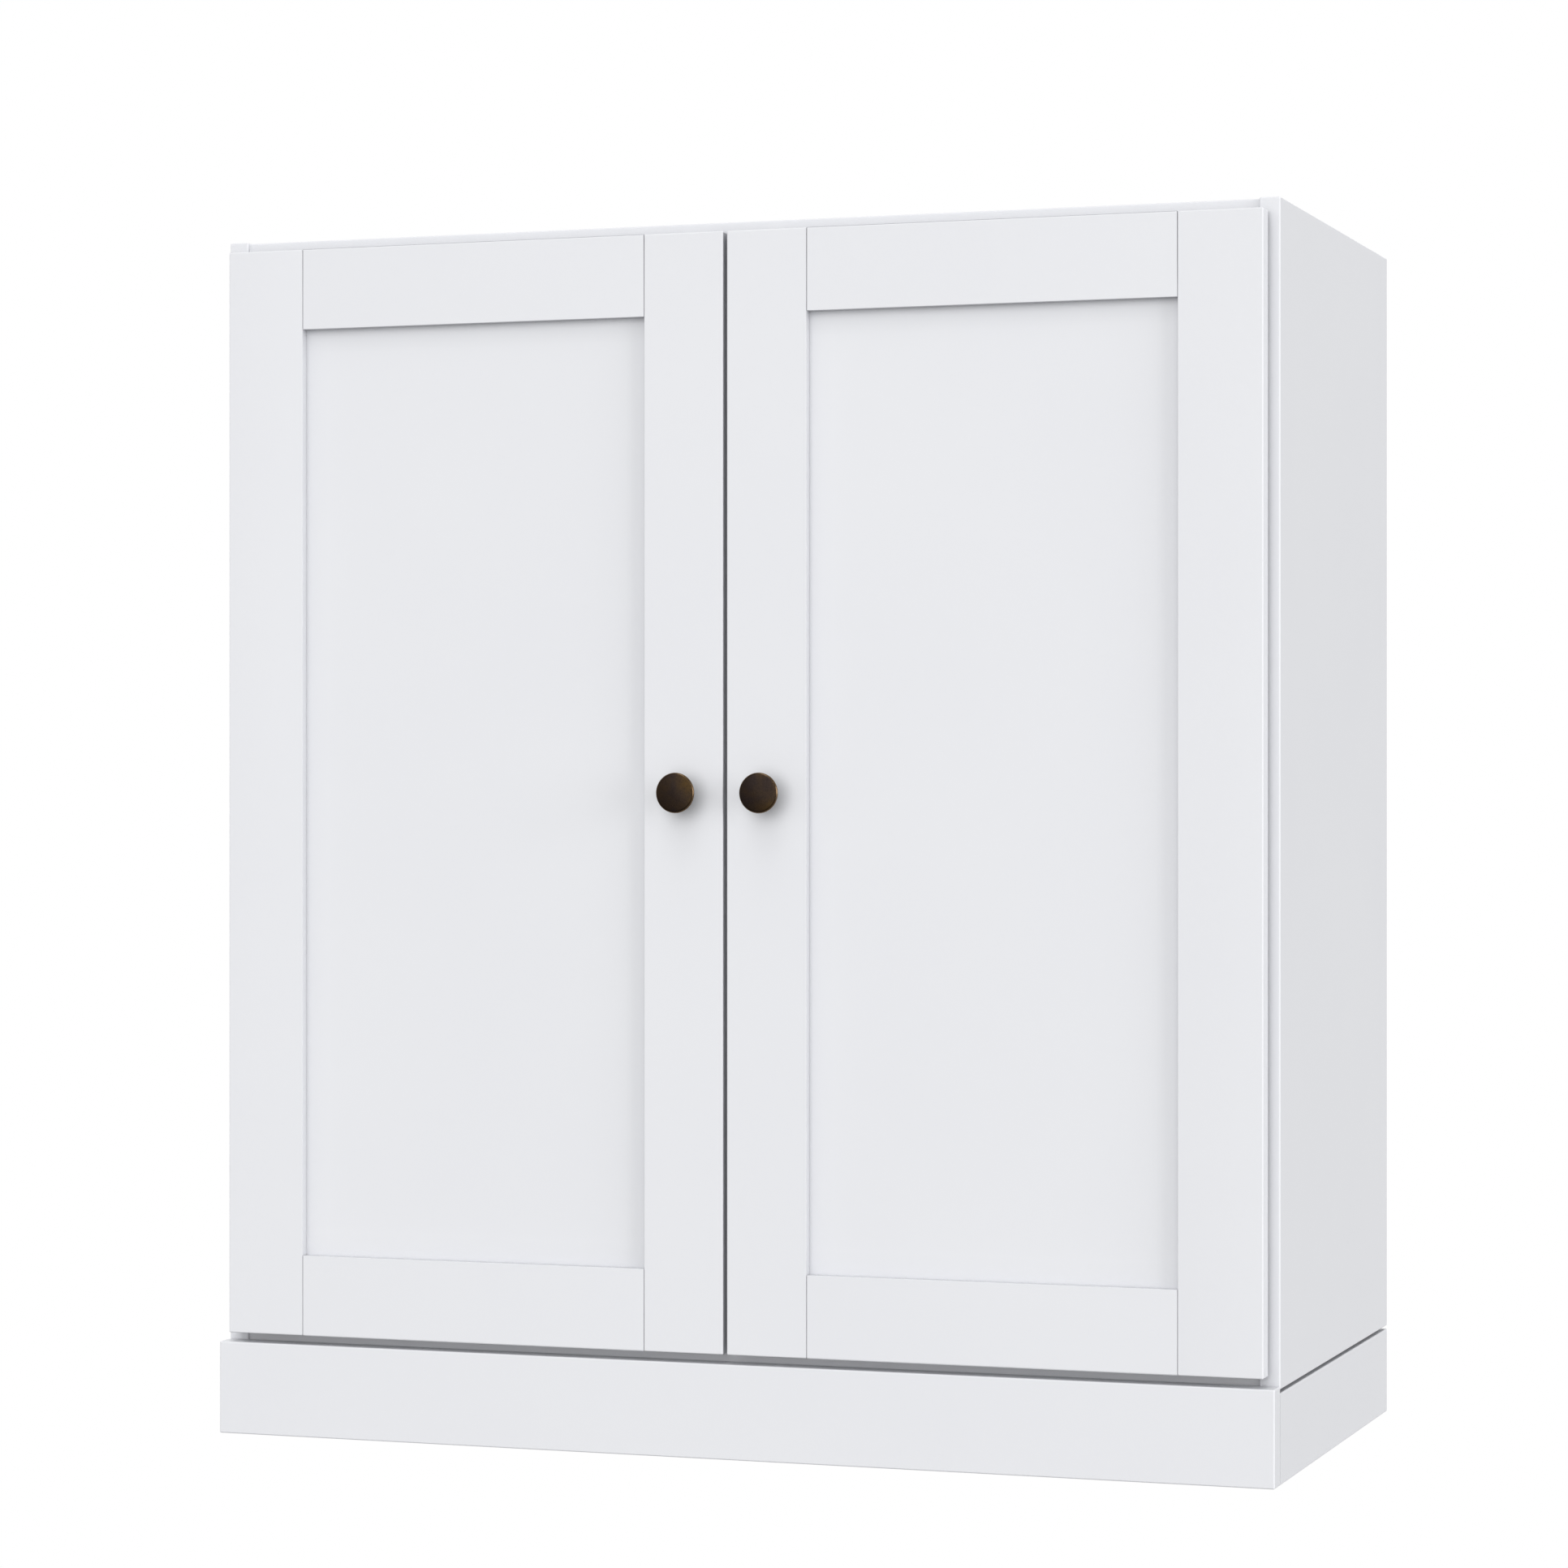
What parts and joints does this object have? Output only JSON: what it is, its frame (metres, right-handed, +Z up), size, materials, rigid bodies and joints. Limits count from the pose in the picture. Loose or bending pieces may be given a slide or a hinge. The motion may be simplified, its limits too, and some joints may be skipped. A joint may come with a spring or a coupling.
{
  "type": "hanging wall cabinet",
  "caption": "White cabinet with framed doors, recessed panels, round dark knobs, loose shelves and a skirt; hung on its rear rails or stood on its skirt.",
  "frame": {"origin": "on the wall plane behind the cabinet, at the middle of its width, level with the skirt's underside", "axes": "+Z up, front faces -Y, +X to the viewer's right, and the wall is at y = 0"},
  "size_m": [0.812, 0.4193, 0.901],
  "materials": {
    "painted_board": "white satin lacquer on board",
    "painted_sheet": "white-faced hardboard",
    "raw_board": "white-faced board with plain edges",
    "bare_timber": "bare beech and pine",
    "dark_bronze": "dark oil-rubbed bronze, satin",
    "nickel_steel": "nickel plated",
    "zinc_plated_steel": "zinc plated",
    "cast_zinc": "die cast, matt",
    "white_plastic": "moulded",
    "bumper_rubber": "soft pad"
  },
  "bodies": {
    "carcass": {"arm_screws": "nickel_steel", "back_panel": "painted_sheet", "bottom_panel": "painted_board", "cam_bolts": "zinc_plated_steel", "cam_caps": "white_plastic", "cam_locks": "cast_zinc", "corner_blocks": "bare_timber", "hanging_rail_bottom": "raw_board", "hanging_rail_top": "raw_board", "hinge_arm_left_lower": "nickel_steel", "hinge_arm_left_upper": "nickel_steel", "hinge_arm_right_lower": "nickel_steel", "hinge_arm_right_upper": "nickel_steel", "hinge_plate_left_lower": "nickel_steel", "hinge_plate_left_upper": "nickel_steel", "hinge_plate_right_lower": "nickel_steel", "hinge_plate_right_upper": "nickel_steel", "panel_dowels": "bare_timber", "plate_screws": "nickel_steel", "rail_dowels": "bare_timber", "shelf_lower": "painted_board", "shelf_pins_lower": "nickel_steel", "shelf_pins_upper": "nickel_steel", "shelf_upper": "painted_board", "side_panel_left": "painted_board", "side_panel_right": "painted_board", "skirt_front": "painted_board", "skirt_rear_rail": "raw_board", "skirt_screws": "zinc_plated_steel", "skirt_side_left": "painted_board", "skirt_side_right": "painted_board", "top_panel": "painted_board"},
    "right_door": {"hinge_cup_right_lower": "nickel_steel", "hinge_cup_right_upper": "nickel_steel", "right_door_bottom_rail": "painted_board", "right_door_bumpers": "bumper_rubber", "right_door_centre_panel": "painted_board", "right_door_cup_screws": "nickel_steel", "right_door_hinge_pins": "nickel_steel", "right_door_inner_stile": "painted_board", "right_door_knob": "dark_bronze", "right_door_knob_screw": "zinc_plated_steel", "right_door_outer_stile": "painted_board", "right_door_top_rail": "painted_board"},
    "left_door": {"hinge_cup_left_lower": "nickel_steel", "hinge_cup_left_upper": "nickel_steel", "left_door_bottom_rail": "painted_board", "left_door_bumpers": "bumper_rubber", "left_door_centre_panel": "painted_board", "left_door_cup_screws": "nickel_steel", "left_door_hinge_pins": "nickel_steel", "left_door_inner_stile": "painted_board", "left_door_knob": "dark_bronze", "left_door_knob_screw": "zinc_plated_steel", "left_door_outer_stile": "painted_board", "left_door_top_rail": "painted_board"}
  },
  "joints": [
    {"name": "right_door_hinge", "type": "hinge", "parent": "carcass", "child": "right_door", "pos_m": [0.3914, -0.3933, 0.484], "axis": [0, 0, 1], "range_deg": [0, 95]},
    {"name": "left_door_hinge", "type": "hinge", "parent": "carcass", "child": "left_door", "pos_m": [-0.3914, -0.3933, 0.484], "axis": [0, 0, -1], "range_deg": [0, 95]}
  ]
}
